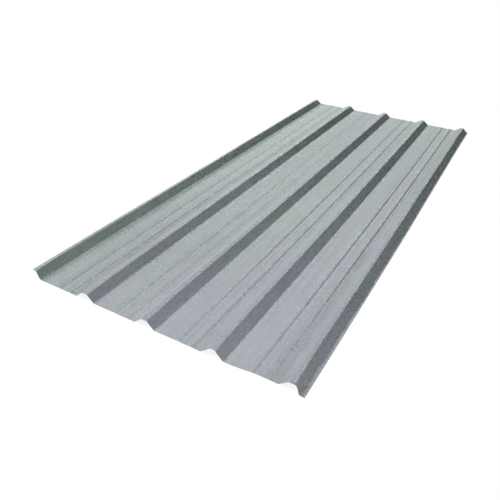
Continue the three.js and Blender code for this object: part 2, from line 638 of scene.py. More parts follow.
    def _unevenness(self) -> Signal:
        """How far up the steel moves: pans stand off the plane, swages flatten, ribs sag at the far cut.

        Returns:
            The way up.
        """
        size, at, x, y, z = self.sizes, self.places, self.x, self.y, self.z
        waves = self.vector(x * size.waves_per_metre_across, y * size.waves_per_metre_along, size.seed)
        lift = self.noise(waves, 1.0, 1.0).rise(*at.lift_shown) * size.pan_lift
        near_end = y.fall(*at.near_swages_y) * size.near_swage_fade
        near_end = near_end + x.rise(*LAST_SWAGES) * y.fall(*at.last_swages_y) * size.last_swage_fade
        weak = x.near(size.weak_swage_x, *at.weak_swage_reach) * size.weak_swage_fade
        sink = (z - self.pan_level) * near_end.at_least(size.swage_fade).at_least(weak)
        sag = z * (y.rise(*at.sag_y) * size.far_rib_sag) * z.above(at.above_swages)
        return (lift - sink) * self._named(Mark.GIVE) - sag

    def _run_out(self) -> Signal:
        """How far to the right the steel runs out of true between its straight side edges.

        The near end fans out from the middle, the ribs right of the middle bow, and the far end narrows at
        the flange. At the near end the last foot is tucked in under its rib, and the right webs are steeper.

        Returns:
            The way to the right.
        """
        size, at, x, y = self.sizes, self.places, self.x, self.y
        nearness = y.fall(NEAR_END, FAR_END)
        fan = nearness * nearness * (x * x * size.fan_per_square_metre - 1.0)
        along = (y - size.bow_middle_y) * size.bow_per_metre
        bow = (1.0 - along * along) * x.rise(*at.bow_x)
        free = (self.right_edge - abs(x)).rise(*at.held_edge)
        sway = (fan * size.end_fan + bow * size.rib_bow) * free * x.fall(*at.sway_x)
        last_web = self.right_edge - size.foot_flange_width - size.rib_web_run
        tent = ((x - last_web) / size.rib_web_run).at_most((self.right_edge - x) / size.foot_flange_width)
        tuck = tent.at_least(0.0) * y.fall(*NEAR_STRETCH) * size.foot_tuck
        tuck = tuck * y.spread(*at.tuck_end)
        taper = y.rise(*at.taper_y) * x.rise(*at.taper_x) * size.far_taper
        past = self._named(Mark.FROM_RIB)
        shoulder = past.rise(*at.shoulder_start) * past.fall(*at.shoulder_end)
        shoulder = shoulder * y.fall(*at.shoulder_y) * size.end_shoulder
        narrow = y.fall(*at.narrow_y) * x.rise(*at.narrow_x) * size.narrow_near_end
        return sway + (shoulder - (tuck + narrow + taper))

    def _short_end(self) -> Signal:
        """How far the near cut stays back from true, at the last ribs, the last pan and the lap corner.

        Returns:
            The way back.
        """
        size, at, x = self.sizes, self.places, self.x
        back = x.rise(*at.short_pan_from) * x.fall(*at.short_pan_to) * size.short_pan_end
        back = back + x.fall(*at.short_lap) * size.short_lap_end
        back = back + x.near(size.short_rib_x, *at.short_rib_reach) * size.short_rib_end
        return back * self.y.fall(*at.short_y)

    def _marked(self, surface: Signal) -> Signal:
        """Stores the nearest rib's number, the way to the right of rib and swage, and where the face slopes.

        Args:
            surface: The middle surface, still true.

        Returns:
            The surface with its marks.
        """
        size = self.sizes
        along = (self.x - self.first_rib) / size.rib_pitch
        number = along.rounded()
        to_next_rib = (along.ceiling() - along) * size.rib_pitch
        past_last = self.half_base + size.swage_to_next_rib - to_next_rib
        place = (past_last / size.swage_spacing).rounded().at_most(0.0).at_least(1.0 - size.swages_per_pan)
        level = abs(self.split(self.result("GeometryNodeInputNormal"))[2])
        for mark, value in (
            (Mark.RIB_NUMBER, number),
            (Mark.FROM_RIB, (along - number) * size.rib_pitch),
            (Mark.FROM_SWAGE, past_last - place * size.swage_spacing),
            (Mark.WEB, level.fall(*self.WEB_SLOPES)),
        ):
            surface = self.store(surface, mark, value)
        return surface

    def _thickened(self, surface: Signal) -> Signal:
        """Gives the steel its thickness.

        Args:
            surface: The middle surface.

        Returns:
            The closed body, with zinc on its faces and the cut material on its walls.
        """
        thickness = self.sizes.thickness
        x, _, z = self.split(self.result("GeometryNodeInputNormal"))
        upward = self.vector_math("SCALE", self.vector(x, 0.0, z), z.sign())
        surface = self.store(surface, Mark.OUTWARD, upward, "FLOAT_VECTOR")
        outward = self._named(Mark.OUTWARD, "FLOAT_VECTOR")
        under = self._moved(surface, self.vector_math("SCALE", outward, thickness * -0.5))
        under = self.result("GeometryNodeSetMaterial", Geometry=under, Material=self.zinc)
        body, top, side = self.outputs(self.node(
            "GeometryNodeExtrudeMesh", {"mode": "FACES"}, Mesh=under, Offset_Scale=0.0, Individual=False
        ))
        body = self.result("GeometryNodeSetMaterial", Geometry=body, Selection=side, Material=self.cut)
        body = self._moved(body, self.vector_math("SCALE", outward, thickness), Selection=top)
        underside = self.result("GeometryNodeFlipFaces", Mesh=under)
        body = self.result("GeometryNodeJoinGeometry", Geometry=[underside, body])
        return self.result("GeometryNodeMergeByDistance", Geometry=body, Distance=self.WELD_DISTANCE)

    def _finished(self, body: Signal) -> Signal:
        """Shades the bends smooth and the sheared edges sharp, clears the tree's own marks, makes all real.

        Args:
            body: The closed body.

        Returns:
            The finished sheet.
        """
        smooth = "GeometryNodeSetShadeSmooth"
        body = self.result(smooth, {"domain": "FACE"}, Geometry=body, Shade_Smooth=True)
        angle = self.result("GeometryNodeInputMeshEdgeAngle")
        sharp = angle.above(math.radians(self.SHARP_EDGE_DEGREES))
        body = self.result(smooth, {"domain": "EDGE"}, Geometry=body, Selection=sharp, Shade_Smooth=False)
        for mark in (Mark.BEND_RADIUS, Mark.BEND_STEPS, Mark.GIVE, Mark.OUTWARD):
            body = self.result("GeometryNodeRemoveAttribute", Geometry=body, Name=mark.value)
        return self.result("GeometryNodeRealizeInstances", Geometry=body)


# ----------------------------------------------------------------------------------------------- finishes


class GrainGroup(GroupBuilder):
    """Shader node group for fine lines that run along Y, as rolling leaves them on strip."""

    def __init__(self) -> None:
        """Builds the group once; each finish gives it its own scales and depth."""
        super().__init__("strip_grain", "ShaderNodeTree")
        place = self.takes("Vector", kind="NodeSocketVector")
        across, along = self.takes("Lines per Metre", 300.0), self.takes("Breaks per Metre", 4.0)
        depth = self.takes("Depth", 0.5)
        stretched = self.vector_math("MULTIPLY", place, self.vector(across, along, across))
        noise = self.noise(stretched, 1.0, 3.0, 0.6)
        self.gives("Value", 1.0 + (noise - 0.5) * depth)
        self.gives("Height", noise)


class SpangleGroup(GroupBuilder):
    """Shader node group for the crystals of hot-dip zinc: flat facets of slightly different tone."""

    WARP_GRAINS_PER_CRYSTAL = 1.6
    WARP_IN_CRYSTALS = 0.9
    RIM_IN_CRYSTALS = 0.08

    def __init__(self) -> None:
        """Builds the group once; each finish gives it its own crystal size and contrast."""
        super().__init__("zinc_spangle", "ShaderNodeTree")
        place = self.takes("Vector", kind="NodeSocketVector")
        size, contrast = self.takes("Crystals per Metre", 140.0), self.takes("Contrast", 0.1)
        grains = size * self.WARP_GRAINS_PER_CRYSTAL
        _, warp = self.outputs(self.node("ShaderNodeTexNoise", Vector=place, Scale=grains, Detail=2.0))
        shift = self.vector_math("SUBTRACT", warp, (0.5, 0.5, 0.5))
        shift = self.vector_math("SCALE", shift, self.WARP_IN_CRYSTALS / size)
        pattern = {"Vector": self.vector_math("ADD", place, shift), "Scale": size}
        cells = self.node("ShaderNodeTexVoronoi", {"feature": "F1"}, **pattern)
        tone, facet, _ = self.split(Signal(self, cells.outputs["Color"]))
        rims = self.result("ShaderNodeTexVoronoi", {"feature": "DISTANCE_TO_EDGE"}, **pattern)
        self.gives("Value", 1.0 + (tone - 0.5) * contrast)
        self.gives("Facet", facet)
        self.gives("Rim", rims.fall(0.0, self.RIM_IN_CRYSTALS))


@dataclass(frozen=True)
class SharedEffects:
    """Node groups that more than one finish uses."""

    grain: GrainGroup
    spangle: SpangleGroup


class SheetFace:
    """Readings of the sheet's face: where the point at hand is, and what the rolling tree stored there."""

    def __init__(self, graph: NodeGraph) -> None:
        """Adds the nodes that read them.

        Args:
            graph: Graph of the material.
        """
        self.graph = graph
        self.place = Signal(graph, graph.node("ShaderNodeTexCoord").outputs["Object"])
        self.x, self.y, self.z = graph.split(self.place)
        self.bend, self.web = self._reading(Mark.BEND), self._reading(Mark.WEB)
        self.from_rib, self.from_swage = self._reading(Mark.FROM_RIB), self._reading(Mark.FROM_SWAGE)
        self.rib = self._reading(Mark.RIB_NUMBER)
        self.half_rib, self.last_rib = self.rib.below(0.5), self.rib.above(3.5)
        self.right = self.from_rib.above(0.0)

    def _reading(self, mark: Mark) -> Signal:
        """Reads one mark."""
        node = self.graph.node("ShaderNodeAttribute", {"attribute_name": mark.value})
        return Signal(self.graph, node.outputs["Fac"])

    def webs(self, left_share: float) -> Signal:
        """Mask of the right webs, and of the left ones at a share of it."""
        return self.web * self.from_rib.spread(-0.001, 0.001, left_share, 1.0)

    def per_rib(self, values: PerRib) -> Signal:
        """Picks the value of the nearest rib."""
        return sum(self.rib.near(number, 0.4, 0.5) * value for number, value in enumerate(values))

    def streaks(self, per_metre: float, stretch: float) -> Signal:
        """Noise round 0.5 whose grains are so many times longer along the sheet."""
        longer = self.graph.vector_math("MULTIPLY", self.place, (1.0, 1.0 / stretch, 1.0))
        return self.graph.noise(longer, per_metre, 2.0, 0.65)

    def grains(self, per_metre: Pair, turn: Stretch, stretch: float) -> Signal:
        """Noise that is fine at the near end and coarser at the far end, with the same contrast all along.

        Args:
            per_metre: Grains per metre across the sheet, near and far.
            turn: Y where the far grains begin to show, and Y where the near ones end.
            stretch: How many times longer than wide the grains are.

        Returns:
            The noise, round 0.
        """
        farness = self.y.rise(*turn)
        shares = (1.0 - farness, farness)
        mixed = sum((self.streaks(scale, stretch) - 0.5) * share for share, scale in zip(shares, per_metre))
        return mixed / sum(share * share for share in shares).root()


@dataclass(frozen=True)
class Finish:
    """What all finishes share: a name, and a material with an empty Principled shader."""

    name: str

    def start(self) -> tuple[bpy.types.Material, NodeGraph, bpy.types.Node]:
        """Makes the material.

        Returns:
            The material, its node graph, and its Principled shader.
        """
        material = bpy.data.materials.new(self.name)
        material.use_nodes = True
        material.node_tree.nodes.clear()
        graph = NodeGraph(material.node_tree)
        shader = graph.node("ShaderNodeBsdfPrincipled")
        graph.node("ShaderNodeOutputMaterial", Surface=Signal(graph, shader.outputs[0]))
        return material, graph, shader


@dataclass(frozen=True)
class MetalFinish(Finish):
    """What the two metal finishes share: how they answer light, and how their marks reach the shader."""

    metallic: float = 0.6
    roughness: float = 0.42
    bump_strength: float = 0.12
    bump_height: float = 0.0003

    def dress(self, graph: NodeGraph, shader: bpy.types.Node, looks: Mapping[str, Signal]) -> None:
        """Feeds the shader.

        Args:
            graph: Graph of the material.
            shader: Its Principled shader.
            looks: Signals for Base Color, Roughness and the Height of the bump.
        """
        bump = {"Strength": self.bump_strength, "Distance": self.bump_height, "Height": looks["Height"]}
        graph.feed(shader.inputs["Base Color"], looks["Base Color"])
        graph.feed(shader.inputs["Roughness"], looks["Roughness"])
        graph.feed(shader.inputs["Normal"], graph.result("ShaderNodeBump", **bump))
        shader.inputs["Metallic"].default_value = self.metallic


class ToneMarks:
    """One kind of mark on the zinc, or of painted light and shade on it, which changes its tone.

    A stretch named shown is the part of a noise, from 0 to 1 or round 0, over which its marks fade in.
    """

    def factor(self, face: SheetFace) -> Signal:
        """Reckons the marks.

        Args:
            face: Readings of the face.

        Returns:
            A factor for the tone, 1 where the face is unmarked.
        """
        raise NotImplementedError


@dataclass(frozen=True)
class Flecks(ToneMarks):
    """Small dark flecks of dross and rubbed dirt, and finer dots, most at the far ends of the webs."""

    per_metre: float = 95.0
    shown: Stretch = (0.58, 0.72)
    groups_per_metre: float = 14.0
    groups_shown: Stretch = (0.40, 0.60)
    depth: float = 0.60
    on_left_webs: float = 0.3
    along_webs: Ramp = (-0.9, 0.9, 0.05, 1.1)
    anywhere: float = 0.2
    on_bends: float = 0.38
    dots_per_metre: Pair = (180.0, 90.0)
    dots_turn: Stretch = (-0.7, 0.3)
    dot_stretch: float = 1.5
    dots_shown: Stretch = (0.10, 0.22)
    dot_depth: float = 0.45
    dots_on_left_webs: float = 0.35
    dots_along: Ramp = (-0.7, 0.6, 1.0, 2.2)
    dots_across: Ramp = (0.2, 0.45, 1.0, 0.7)

    def factor(self, face: SheetFace) -> Signal:
        """Darkens flecks, and darkens and lightens dots.

        Args:
            face: Readings of the face.

        Returns:
            A factor for the tone, 1 where there is neither.
        """
        flecks = face.graph.noise(face.place, self.per_metre, 1.0).rise(*self.shown)
        groups = face.graph.noise(face.place, self.groups_per_metre, 1.0).rise(*self.groups_shown)
        fouled = face.webs(self.on_left_webs) * face.y.spread(*self.along_webs) + self.anywhere
        fouled = fouled.at_least(face.bend * self.on_bends)
        grains = face.grains(self.dots_per_metre, self.dots_turn, self.dot_stretch)
        dark, pale = grains.rise(*self.dots_shown), (grains * -1.0).rise(*self.dots_shown)
        dots = (dark - pale) * self.dot_depth * face.webs(self.dots_on_left_webs)
        dots = dots * face.y.spread(*self.dots_along) * face.x.spread(*self.dots_across)
        return 1.0 - (flecks * groups * fouled * self.depth + dots)


@dataclass(frozen=True)
class ScuffsAndPaintedGlints(ToneMarks):
    """Light and dark grains, and bright glints that are painted highlights, most beside feet and swages and
    towards the lap edge.
    """

    per_metre: Pair = (240.0, 140.0)
    turn: Stretch = (-0.5, 0.4)
    stretch: float = 2.0
    depth: float = 1.4
    on_webs: float = 0.3
    across: Ramp = (-0.45, 0.25, 0.35, 0.14)
    after_feet: Stretch = (FOOT, BAND_END)
    lap_widening: Ramp = (-0.4, 0.0, 0.66, 1.0)
    after_feet_across: Ramp = (-0.4, 0.3, 1.4, 2.1)
    before_feet: Spot = (-0.056, 0.002, 0.018)
    before_feet_share: float = 0.3
    by_feet_along: Ramp = (*NEAR_STRETCH, 0.35, 1.0)
    by_swages: Spot = (0.005, 0.004, 0.024)
    by_swages_share: float = 0.85
    by_swages_across: Ramp = (-0.35, -0.15, 0.8, 1.3)
    by_swages_along: Ramp = (-1.1, -0.6, 0.3, 1.0)
    weak_swage: Spot = (-0.0955, 0.018, 0.024)
    painted_glints_shown: Stretch = (0.07, 0.19)
    painted_glint_height: float = 0.85
    painted_glint_groups_per_metre: float = 17.0
    painted_glint_groups_shown: Stretch = (0.42, 0.60)
    painted_glints_anywhere: float = 0.3
    painted_glints_by_swages: Spot = (0.010, 0.004, 0.022)
    painted_glints_by_swages_share: float = 0.7
    painted_glints_across: Ramp = (-0.1, 0.3, 1.0, 0.7)
    painted_glints_along: Ramp = (-1.2, -0.3, 0.4, 1.0)

    def factor(self, face: SheetFace) -> Signal:
        """Lightens and darkens grains, and adds the glints, which are painted highlights.

        Args:
            face: Readings of the face.

        Returns:
            A factor for the tone, round 1.
        """
        x, y, from_swage = face.x, face.y, face.from_swage
        after = (face.from_rib * x.spread(*self.lap_widening)).fall(*self.after_feet)
        after = after * x.spread(*self.after_feet_across) * face.right
        by_foot = after + face.from_rib.near(*self.before_feet) * self.before_feet_share
        by_swage = from_swage.near(*self.by_swages) * self.by_swages_share * x.spread(*self.by_swages_across)
        by_swage = by_swage * (1.0 - x.near(*self.weak_swage)) * y.spread(*self.by_swages_along)
        amount = x.spread(*self.across) + (by_foot * y.spread(*self.by_feet_along) + by_swage)
        flat = 1.0 - face.web
        amount = amount * self.depth * (self.on_webs + flat * (1.0 - self.on_webs))
        grain_and_painted_glint_noise = face.grains(self.per_metre, self.turn, self.stretch)
        groups = face.graph.noise(face.place, self.painted_glint_groups_per_metre, 1.0)
        share = from_swage.near(*self.painted_glints_by_swages) * self.painted_glints_by_swages_share
        share = self.painted_glints_anywhere + by_foot.at_most(1.0).at_least(share)
        # The glints are painted highlights: bright specks added to the tone of the zinc.
        painted_glints = grain_and_painted_glint_noise.rise(*self.painted_glints_shown) * groups.rise(*self.painted_glint_groups_shown) * share
        painted_glints = painted_glints * (x.spread(*self.painted_glints_across) * y.spread(*self.painted_glints_along)) * self.painted_glint_height
        return 1.0 + (grain_and_painted_glint_noise * amount + painted_glints * flat)


@dataclass(frozen=True)
class BroadTonesAndPaintedLight(ToneMarks):
    """Broad changes of tone: paler towards the far lap corner, crowns that darken unevenly, and painted
    light and shade on the webs and on the bends on the right side of each rib.
    """

    near_pans: Ramp = (-0.9, -0.25, 0.115, 0.0)
    near_pans_across: Stretch = (-0.45, 0.25)
    far_pans: Ramp = (-0.25, 0.4, 0.0, 0.15)
    far_pans_across: Ramp = (-0.40, -0.16, 1.0, 0.15)
    near_cut: Ramp = (NEAR_END, -1.05, -0.025, 0.0)
    middle: Spot = (-0.3, 0.2, 0.6)
    middle_bleach: float = 0.035
    right_web_painted_light: PerRib = (0.03, 0.07, 0.12, 0.08, -0.13)
    near_webs: Stretch = (-1.2, -0.5)
    near_right_web_painted_shade: PerRib = (0.14, 0.06, -0.01, -0.06, 0.0)
    far_webs_from: PerRib = (-0.45, -0.2, -0.2, -0.5, -0.7)
    far_webs_length: float = 1.2
    far_right_web_painted_shade: PerRib = (0.50, 0.43, 0.30, 0.15, 0.10)
    far_left_webs: Stretch = (-0.6, 0.8)
    far_left_web_painted_shade: PerRib = (0.0, 0.12, 0.21, 0.20, 0.28)
    near_left_webs: Stretch = (-1.0, 0.3)
    near_left_web_painted_light: PerRib = (0.0, 0.0, 0.11, 0.03, -0.03)
    crown_levels: Stretch = (0.0225, 0.0245)
    dull_crowns: PerRib = (-0.10, 0.03, 0.10, 0.08, 0.11)
    dull_crowns_along: Ramp = (-0.7, 0.0, 0.85, 0.0)
    dull_crowns_across: Ramp = (0.3, 0.45, 0.15, 0.9)
    lap_shine: float = 0.36
    lap_shine_along: Spot = (-0.25, 0.1, 0.45)
    bend_painted_shade_levels: Ramp = (0.0, 0.003, 1.0, 0.6)
    bend_painted_shade_along: Ramp = (-0.3, 0.6, 0.0, 0.16)
    dull_flange: Ramp = (0.508, 0.514, 0.0, 0.14)
    dull_flange_along: Stretch = (NEAR_END, -0.8)

    def factor(self, face: SheetFace) -> Signal:
        """Lightens and darkens pans, webs, crowns, bends and flange; on the webs and bends this is painted
        light and shade.

        Args:
            face: Readings of the face.

        Returns:
            A factor for the tone, round 1.
        """
        x, y, z, per_rib = face.x, face.y, face.z, face.per_rib
        paler = y.spread(*self.far_pans) * x.spread(*self.far_pans_across)
        paler = paler - y.spread(*self.near_pans) * x.fall(*self.near_pans_across) + y.spread(*self.near_cut)
        paler = paler + y.near(*self.middle) * self.middle_bleach
        # Painted light and shade on the webs: each right web lighter or darker by rib and darker towards the
        # far end, the left webs darker far and lighter near.
        far_webs = (y - per_rib(self.far_webs_from)).rise(0.0, self.far_webs_length)
        right_web_painted_shade = far_webs * per_rib(self.far_right_web_painted_shade)
        right_web_painted_shade = right_web_painted_shade + y.fall(*self.near_webs) * per_rib(self.near_right_web_painted_shade)
        right_web = (per_rib(self.right_web_painted_light) - right_web_painted_shade) * face.right
        left_web = per_rib(self.far_left_web_painted_shade) * y.rise(*self.far_left_webs)
        left_web = left_web - per_rib(self.near_left_web_painted_light) * y.fall(*self.near_left_webs)
        webs = (right_web - left_web * (1.0 - face.right)) * face.web
        crown_darkening = (y.spread(*self.dull_crowns_along) + x.spread(*self.dull_crowns_across)).at_most(1.0)
        shine = face.half_rib * y.near(*self.lap_shine_along) * self.lap_shine
        crown = z.rise(*self.crown_levels) * (crown_darkening * per_rib(self.dull_crowns) - shine)
        # Painted shade on the bends on the right side of each rib, deepest at pan level and towards the far
        # end.
        bends = face.bend * face.right * z.spread(*self.bend_painted_shade_levels) * y.spread(*self.bend_painted_shade_along)
        flange = x.spread(*self.dull_flange) * y.fall(*self.dull_flange_along)
        return 1.0 + (paler + webs - (crown + bends + flange))


@dataclass(frozen=True)
class PaintedFootShadows(ToneMarks):
    """Painted shadow: dark bands in the pans beside the feet of the ribs, deepest along the half rib, with
    frayed edges.
    """

    after_half_rib: float = 0.33
    after_near: Ramp = (-1.0, 0.0, 0.4, 1.0)
    after_far: Ramp = (0.2, 1.0, 1.0, 0.5)
    before_ribs: PerRib = (0.0, 0.13, 0.04, 0.07, 0.14)
    before_far: Ramp = (0.5, 1.1, 1.0, 0.4)
    before_last: Ramp = (-0.48, -0.36, 0.0, 0.5)
    start: Stretch = (FOOT - 0.004, FOOT)
    end: Stretch = (BAND_END - 0.004, BAND_END + 0.008)
    frays_per_metre: float = 150.0
    fray_stretch: float = 9.0
    fray_width: float = 0.022
    fray_depth: float = 1.6

    def factor(self, face: SheetFace) -> Signal:
        """Darkens the bands of painted shadow.

        Args:
            face: Readings of the face.

        Returns:
            A factor for the tone, 1 outside the bands.
        """
        y = face.y
        # Painted shadow beside the feet: after the half rib, and before each rib.
        after = face.right * face.half_rib * self.after_half_rib
        after = after * (y.spread(*self.after_near) * y.spread(*self.after_far))
        before = (1.0 - face.right) * face.per_rib(self.before_ribs) * y.spread(*self.before_far)
        before = before * (1.0 - face.last_rib * y.spread(*self.before_last))
        streaks = face.streaks(self.frays_per_metre, self.fray_stretch) - 0.5
        away = abs(face.from_rib) + streaks * self.fray_width
        band = away.rise(*self.start) * away.fall(*self.end)
        return 1.0 - (after + before) * band * (1.0 + streaks * self.fray_depth)


@dataclass(frozen=True)
class DirtAndPaintedShadeLines(ToneMarks):
    """Dark lines in the feet of the webs and beyond the swages, broken along their length: partly dirt that
    rain leaves, partly painted shade of the swages' flanks and of the feet.
    """

    breaks_per_metre: float = 110.0
    break_stretch: float = 2.5
    breaks: Ramp = (0.38, 0.60, 0.3, 1.5)
    beyond_swages: Spot = (0.0085, 0.0015, 0.0045)
    swage_dirt_and_shade: float = 0.12
    across: Ramp = (-0.3, 0.1, 0.45, 1.0)
    more_along: Spot = (-0.85, 0.3, 0.7)
    more_across: Ramp = (-0.3, 0.1, 1.1, -0.2)
    gap_across: Spot = (0.17, 0.015, 0.03)
    gap_along: Spot = (-0.35, 0.2, 0.45)
    gap_share: float = 0.6
    near_share: Ramp = (*NEAR_STRETCH, 0.5, 1.0)
    near_lap: Stretch = (-0.3, -0.2)
    faint_line: Spot = (-0.045, 0.001, 0.003)
    faint_line_along: Spot = (-0.25, 0.3, 0.5)
    faint_line_across: Ramp = (0.25, 0.26, 0.0, 0.06)
    last_flanks: Spot = (-0.006, 0.003, 0.009)
    last_flanks_across: Ramp = (*LAST_SWAGES, 0.0, 0.07)
    last_flanks_along: Stretch = (-0.55, -0.2)
    feet: Spot = (FOOT + 0.003, 0.001, 0.0035)
    foot_dirt_and_shade: float = 0.22
    swages: Spot = (-0.002, 0.006, 0.012)
    swage_painted_shade: float = 0.06

    def factor(self, face: SheetFace) -> Signal:
        """Darkens the lines, and gives the swages a little painted shade.

        Args:
            face: Readings of the face.

        Returns:
            A factor for the tone, 1 where there is no dirt.
        """
        x, y, from_swage = face.x, face.y, face.from_swage
        share = x.spread(*self.across) + y.near(*self.more_along) * x.spread(*self.more_across)
        share = share - x.near(*self.gap_across) * y.near(*self.gap_along) * self.gap_share
        share = share * y.spread(*self.near_share).at_least(x.fall(*self.near_lap)) * self.swage_dirt_and_shade
        # Lines beyond the swages: partly dirt, partly painted shade of their right flanks.
        line = from_swage.near(*self.beyond_swages) * share
        faint = from_swage.near(*self.faint_line) * y.near(*self.faint_line_along)
        # Painted shade on the left flanks of the last swages, towards the near end.
        flank = from_swage.near(*self.last_flanks) * y.fall(*self.last_flanks_along)
        line = line + faint * x.spread(*self.faint_line_across) + flank * x.spread(*self.last_flanks_across)
        # Lines along the feet: partly dirt, partly painted shade in the crease.
        line = line + face.from_rib.near(*self.feet) * self.foot_dirt_and_shade
        breaks = face.streaks(self.breaks_per_metre, self.break_stretch).spread(*self.breaks)
        # Painted shade over the whole bead of each swage, which evens out their lit left flanks.
        return 1.0 - (line * breaks + from_swage.near(*self.swages) * self.swage_painted_shade)


@dataclass(frozen=True)
class ZincTint:
    """Clouds of green-grey and blue-grey, with a stronger film of them on the webs and by the half rib."""

    green_grey: ScreenColour = (164, 175, 171)
    blue_grey: ScreenColour = (166, 171, 177)
    green_film: ScreenColour = (150, 167, 161)
    blue_film: ScreenColour = (161, 166, 174)
    lap_grey: ScreenColour = (162, 169, 167)
    lap_end: float = -0.508
    clouds_per_metre: float = 9.0
    cloud_lengthening: Triple = (1.0, 0.4, 1.0)
    cloud_depth: float = 1.8
    bluer_across: Ramp = (-0.45, 0.1, 0.0, 0.7)
    greener_far_lap: Ramp = (-0.5, -0.3, 0.0, 0.4)
    bluer_clouds: tuple[Triple, ...] = (
        (0.10, -0.3, -0.5), (-0.36, -0.35, 0.24), (-0.08, 1.0, 0.5), (-0.39, -1.1, 0.3),
    )
    cloud_reach_across: Pair = (0.03, 0.22)
    cloud_reach_along: Pair = (0.1, 0.6)
    film_on_left_webs: float = 0.2
    film_after_foot: Ramp = (0.010, 0.016, 0.0, 0.7)
    film_end: Stretch = (BAND_END, BAND_END * 1.3)

    def colour(self, face: SheetFace) -> Signal:
        """Mixes the colour.

        Args:
            face: Readings of the face.

        Returns:
            The colour before its tone is worked on.
        """
        graph, x, y = face.graph, face.x, face.y
        longer = graph.vector_math("MULTIPLY", face.place, self.cloud_lengthening)
        cloud = graph.noise(longer, self.clouds_per_metre, 3.0, 0.6)
        slope = x.spread(*self.bluer_across) - y * x.spread(*self.greener_far_lap)
        for middle_x, middle_y, shift in self.bluer_clouds:
            within = x.near(middle_x, *self.cloud_reach_across) * y.near(middle_y, *self.cloud_reach_along)
            slope = slope + within * shift
        drift = (slope + (cloud - 0.5) * self.cloud_depth).rise(0.0, 1.0)
        clean = graph.blend(drift, linear(self.green_grey), linear(self.blue_grey))
        clean = graph.blend(x.below(self.lap_end), clean, linear(self.lap_grey))
        filmed = graph.blend(drift, linear(self.green_film), linear(self.blue_film))
        by_foot = face.from_rib.spread(*self.film_after_foot) * face.from_rib.fall(*self.film_end)
        film = face.webs(self.film_on_left_webs).at_least(face.half_rib * by_foot)
        return graph.blend(film, clean, filmed)


@dataclass(frozen=True)
class ZincFinish(MetalFinish):
    """Hot-dip galvanised face: spangle, streaks, clouds of tint, marks of rolling, handling and rain, and
    painted highlights and shade.
    """

    name: str = "galvanised_zinc"
    tint: ZincTint = ZincTint()
    marks: tuple[ToneMarks, ...] = (Flecks(), ScuffsAndPaintedGlints(), BroadTonesAndPaintedLight(), PaintedFootShadows(), DirtAndPaintedShadeLines())
    crystals_per_metre: float = 130.0
    contrast_across: Ramp = (-0.2, 0.1, 0.18, 0.11)
    contrast_along: Ramp = (*NEAR_STRETCH, 0.45, 1.0)
    contrast_on_webs: Ramp = (0.0, 1.0, 1.0, 0.35)
    fine_lines: Lines = (420.0, 5.0, 0.15)
    broad_lines: Lines = (60.0, 0.9, 0.30)
    patches_per_metre: float = 9.0
    patch_depth: float = 0.12
    bend_polish: float = 0.04
    facet_gloss: float = 0.10
    patch_gloss: float = 0.16
    rub_gloss: float = 0.10
    facet_relief: float = 0.3
    rim_relief: float = 0.5
    line_relief: float = 0.6

    def build(self, effects: SharedEffects) -> bpy.types.Material:
        """Makes the material.

        Args:
            effects: The shared node groups.

        Returns:
            The finished material.
        """
        material, graph, shader = self.start()
        face = SheetFace(graph)
        patches = graph.noise(face.place, self.patches_per_metre, 4.0, 0.6)
        contrast = face.x.spread(*self.contrast_across) * face.y.spread(*self.contrast_along)
        contrast = contrast * face.web.spread(*self.contrast_on_webs)
        spangle, facet, rim = graph.placed(effects.spangle, face.place, self.crystals_per_metre, contrast)
        fine, height = graph.placed(effects.grain, face.place, *self.fine_lines)
        broad, _ = graph.placed(effects.grain, face.place, *self.broad_lines)

        rub, blotch = face.bend * patches, patches - 0.5
        tone = spangle * (fine * broad) * (1.0 + blotch * self.patch_depth) + rub * self.bend_polish
        for marks in self.marks:
            tone = tone * marks.factor(face)
        roughness = self.roughness + (facet - 0.5) * self.facet_gloss + blotch * self.patch_gloss
        self.dress(graph, shader, {
            "Base Color": graph.toned(self.tint.colour(face), tone),
            "Roughness": roughness - rub * self.rub_gloss,
            "Height": facet * self.facet_relief - rim * self.rim_relief + height * self.line_relief,
        })
        return material


@dataclass(frozen=True)
class ShearedEdgeFinish(MetalFinish):
    """Cut wall of the strip: bare grey steel with zinc dragged over part of it."""

    name: str = "sheared_edge"
    steel: ScreenColour = (118, 122, 124)
    zinc: ScreenColour = (166, 172, 174)
    metallic: float = 0.8
    roughness: float = 0.5
    bump_strength: float = 0.3
    bump_height: float = 0.0001
    shear_lines: Lines = (1400.0, 300.0, 0.5)
    crystals_per_metre: float = 160.0
    contrast: float = 0.2
    zinc_shown: Stretch = (0.35, 0.65)
    zinc_gloss: float = 0.15

    def build(self, effects: SharedEffects) -> bpy.types.Material:
        """Makes the material.

        Args:
            effects: The shared node groups.

        Returns:
            The finished material.
        """
        material, graph, shader = self.start()
        place = Signal(graph, graph.node("ShaderNodeTexCoord").outputs["Object"])
        upright = graph.result("ShaderNodeMapping", Vector=place, Rotation=(math.pi / 2, 0.0, 0.0))
        marks, height = graph.placed(effects.grain, upright, *self.shear_lines)
        spangle, facet, _ = graph.placed(effects.spangle, place, self.crystals_per_metre, self.contrast)
        cover = facet.rise(*self.zinc_shown)
        colour = graph.blend(cover, linear(self.steel), linear(self.zinc))
        self.dress(graph, shader, {
            "Base Color": graph.toned(colour, marks * spangle),
            "Roughness": self.roughness - (cover - 0.5) * self.zinc_gloss,
            "Height": height,
        })
        return material


